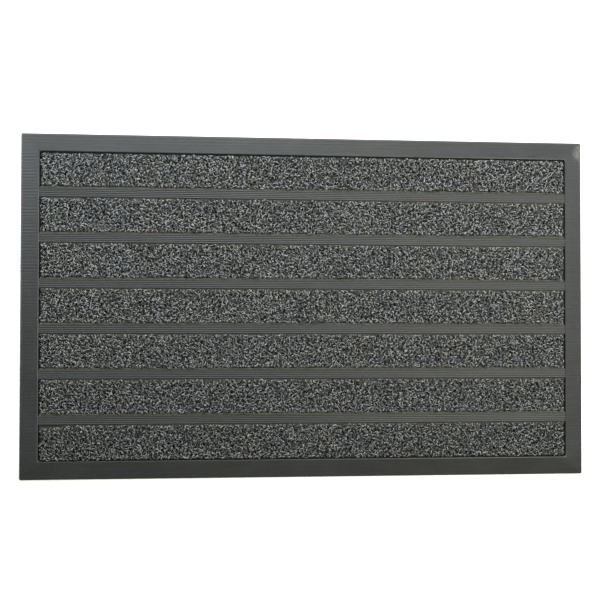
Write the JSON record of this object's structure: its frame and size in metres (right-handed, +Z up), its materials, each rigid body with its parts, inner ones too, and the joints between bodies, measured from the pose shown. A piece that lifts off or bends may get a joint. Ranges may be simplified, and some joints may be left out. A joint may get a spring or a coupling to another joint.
{
  "type": "door mat",
  "caption": "Flat rectangular door mat: a bevelled rubber tray with ribbed bars between bonded strips of speckled curly carpet pile.",
  "frame": {"origin": "centre of the underside, on the floor", "axes": "+X along the carpet strips, which is the mat's long side; +Y across the strips, towards strip 1; +Z up, from the underside to the pile"},
  "size_m": [0.75, 0.45, 0.009],
  "materials": {
    "moulded_rubber": "matt moulded dark grey rubber",
    "adhesive": "cured dark contact adhesive",
    "backing_cloth": "olive brown woven backing with a latex coat",
    "curly_pile": "curly black and grey speckled synthetic yarn"
  },
  "bodies": {
    "root": {"rubber_tray": "moulded_rubber", "adhesive_bed_1": "adhesive", "adhesive_bed_2": "adhesive", "adhesive_bed_3": "adhesive", "adhesive_bed_4": "adhesive", "adhesive_bed_5": "adhesive", "adhesive_bed_6": "adhesive", "adhesive_bed_7": "adhesive", "carpet_backing_1": "backing_cloth", "carpet_backing_2": "backing_cloth", "carpet_backing_3": "backing_cloth", "carpet_backing_4": "backing_cloth", "carpet_backing_5": "backing_cloth", "carpet_backing_6": "backing_cloth", "carpet_backing_7": "backing_cloth", "carpet_pile_1": "curly_pile", "carpet_pile_2": "curly_pile", "carpet_pile_3": "curly_pile", "carpet_pile_4": "curly_pile", "carpet_pile_5": "curly_pile", "carpet_pile_6": "curly_pile", "carpet_pile_7": "curly_pile"}
  },
  "joints": []
}
